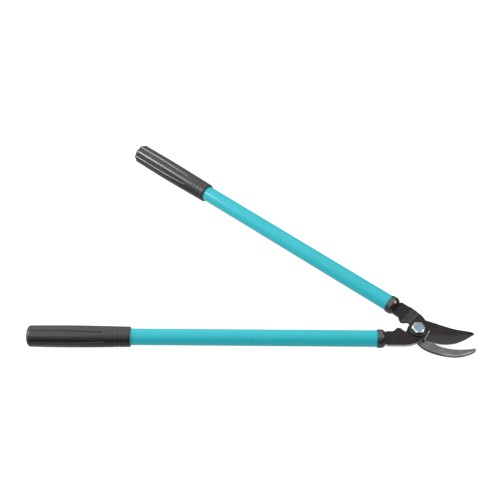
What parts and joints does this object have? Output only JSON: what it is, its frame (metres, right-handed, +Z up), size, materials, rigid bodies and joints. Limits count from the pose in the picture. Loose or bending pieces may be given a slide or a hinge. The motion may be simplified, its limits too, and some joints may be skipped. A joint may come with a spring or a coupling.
{
  "type": "bypass loppers",
  "caption": "Long-handled bypass loppers lying part open: a curved blade slides past a hooked jaw on a bolt, with tube handles and fluted grips.",
  "frame": {"origin": "on the pivot's axis, at the lower end of the pivot bolt, which rests on the ground", "axes": "+X midway between the handles, from the handles towards the jaws; +Z up along the pivot's axis, towards the bolt's head; +Y to the hook arm's handle"},
  "size_m": [0.6423, 0.442, 0.0419],
  "materials": {
    "blade_coat": "satin, thin dark non-stick coating on steel",
    "hook_steel": "bare grey steel, ground",
    "zinc_plate": "bright bluish zinc plate",
    "nylon": "smooth nylon",
    "tube_paint": "glossy teal powder coat on steel tube",
    "plug_plastic": "moulded, matte",
    "pin_steel": "plain",
    "ferrule_plastic": "moulded, slight sheen",
    "grip_plastic": "moulded, slight sheen"
  },
  "bodies": {
    "blade_side": {"blade_arm": "blade_coat", "pivot_bolt": "zinc_plate", "head_washer": "zinc_plate", "nut_washer": "zinc_plate", "pivot_nut": "zinc_plate", "nut_insert": "nylon", "blade_side_tube": "tube_paint", "blade_side_tang_plug": "plug_plastic", "blade_side_tang_pin": "pin_steel", "blade_side_ferrule": "ferrule_plastic", "blade_side_grip": "grip_plastic"},
    "hook_side": {"hook_arm": "hook_steel", "hook_side_tube": "tube_paint", "hook_side_tang_plug": "plug_plastic", "hook_side_tang_pin": "pin_steel", "hook_side_ferrule": "ferrule_plastic", "hook_side_grip": "grip_plastic"}
  },
  "joints": [
    {"name": "pivot", "type": "hinge", "parent": "blade_side", "child": "hook_side", "pos_m": [0, 0, 0.02265], "axis": [0, 0, 1], "range_deg": [-37, 26]}
  ]
}
